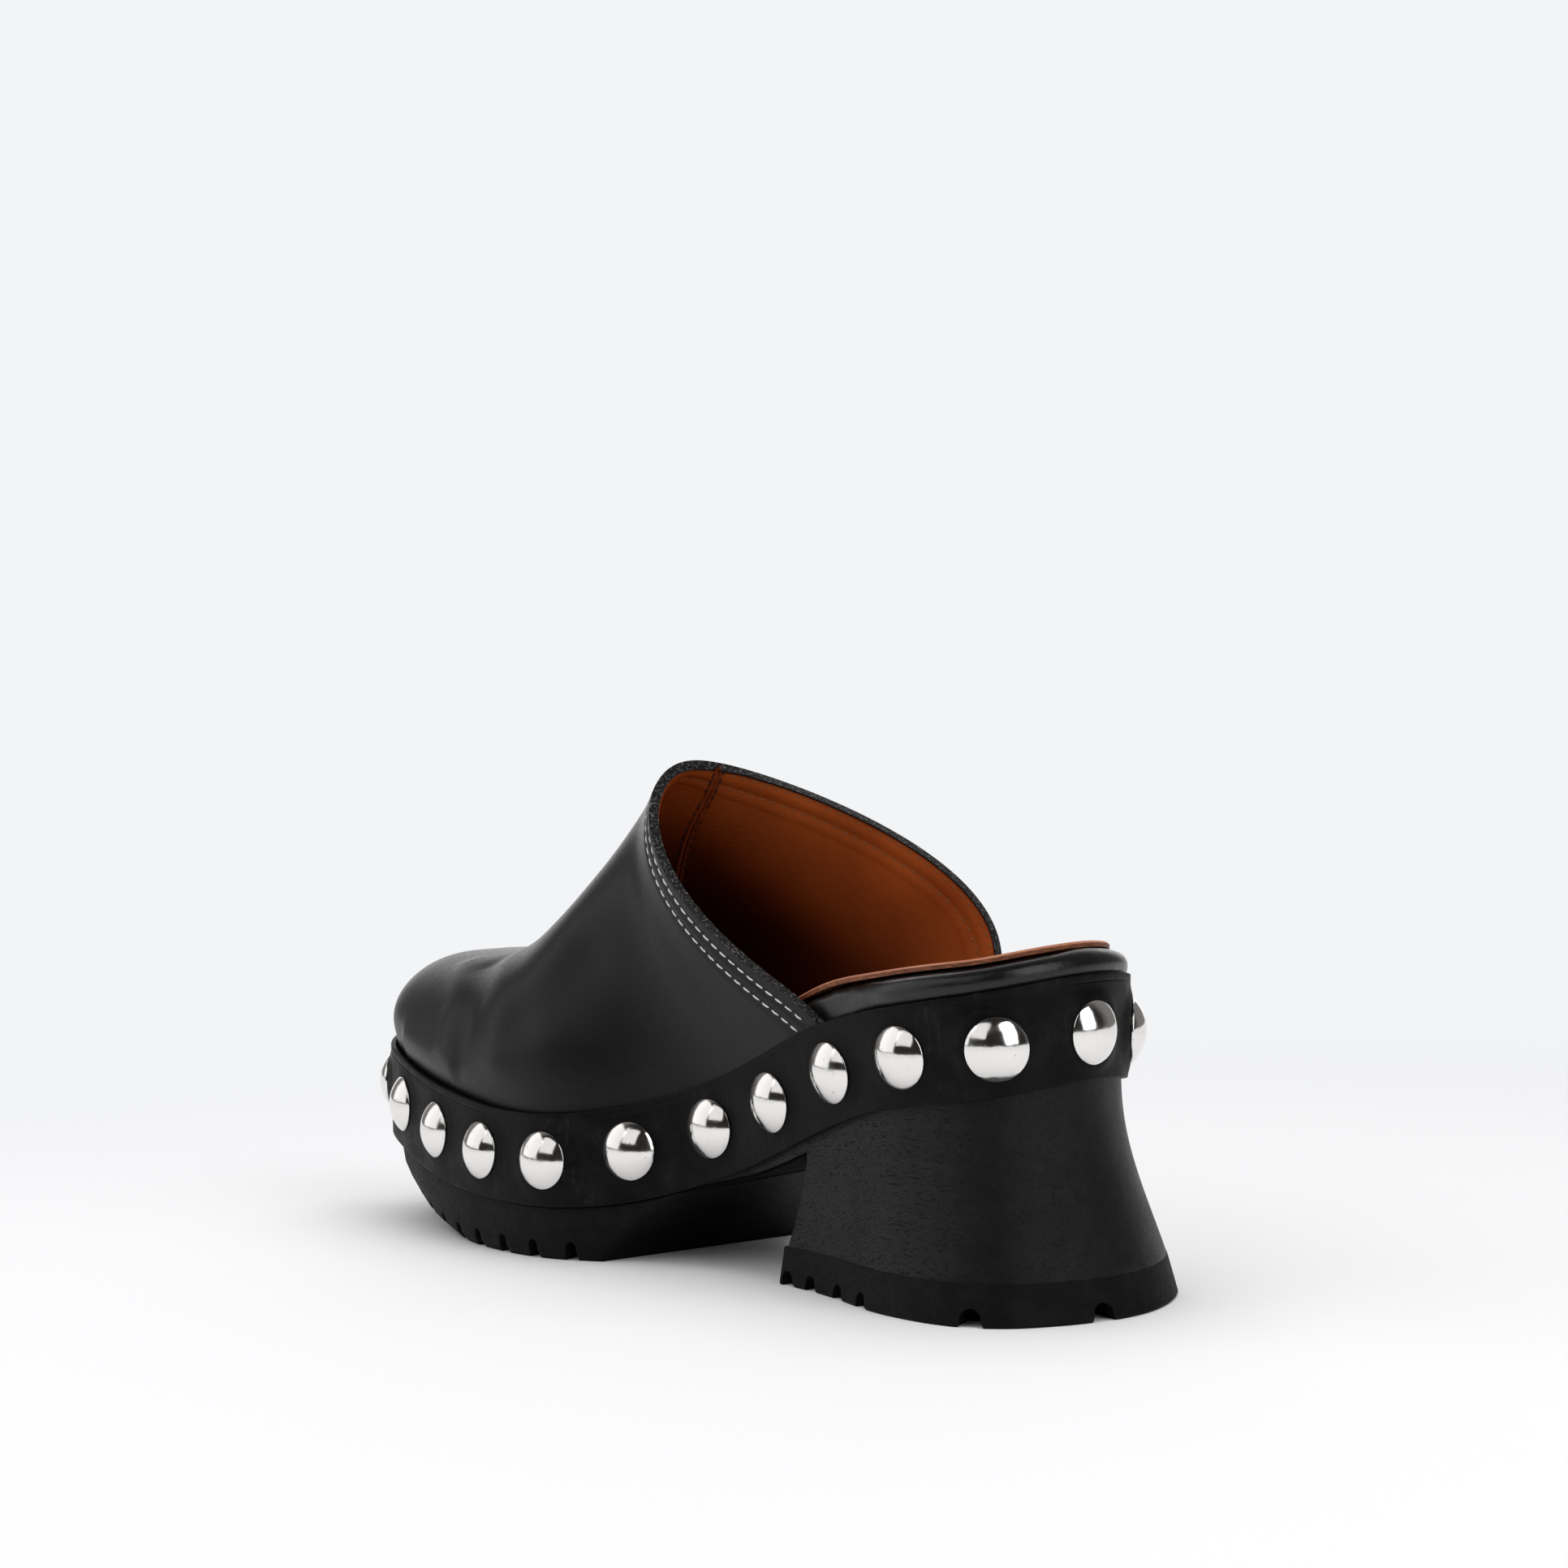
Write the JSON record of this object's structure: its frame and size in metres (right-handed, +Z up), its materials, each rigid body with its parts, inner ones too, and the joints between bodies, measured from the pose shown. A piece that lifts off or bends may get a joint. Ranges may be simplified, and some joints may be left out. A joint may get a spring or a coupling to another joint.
{
  "type": "studded platform clog",
  "caption": "Open-backed leather clog on a wooden platform with a flared block heel, a studded leather band, a padded footbed and notched rubber soles.",
  "frame": {"origin": "on the floor, under the middle of the heel", "axes": "+X along the sole to the toe, +Y to the outer side of the left foot, +Z up"},
  "size_m": [0.2556, 0.0908, 0.1195],
  "materials": {
    "upper_leather": "smooth black leather with a fine grain, semi-matte",
    "band_leather": "smooth black leather, slightly waxed",
    "edge_leather": "glossy black leather with a fine pebbled grain over a soft pad",
    "tan_leather": "tan lining leather with a darker raw edge",
    "black_wood": "wood stained black, with its grain and pores showing",
    "black_rubber": "matte black moulded rubber",
    "polished_steel": "polished nickel-plated steel"
  },
  "bodies": {
    "root": {"wooden_base": "black_wood", "heel_lift": "black_rubber", "forefoot_outsole": "black_rubber", "studded_band": "band_leather", "footbed": "edge_leather", "insole": "tan_leather", "upper": "upper_leather", "stud_01": "polished_steel", "stud_02": "polished_steel", "stud_03": "polished_steel", "stud_04": "polished_steel", "stud_05": "polished_steel", "stud_06": "polished_steel", "stud_07": "polished_steel", "stud_08": "polished_steel", "stud_09": "polished_steel", "stud_10": "polished_steel", "stud_11": "polished_steel", "stud_12": "polished_steel", "stud_13": "polished_steel", "stud_14": "polished_steel", "stud_15": "polished_steel", "stud_16": "polished_steel", "stud_17": "polished_steel", "stud_18": "polished_steel", "stud_19": "polished_steel", "stud_20": "polished_steel", "stud_21": "polished_steel", "stud_22": "polished_steel", "stud_23": "polished_steel", "stud_24": "polished_steel"}
  },
  "joints": []
}
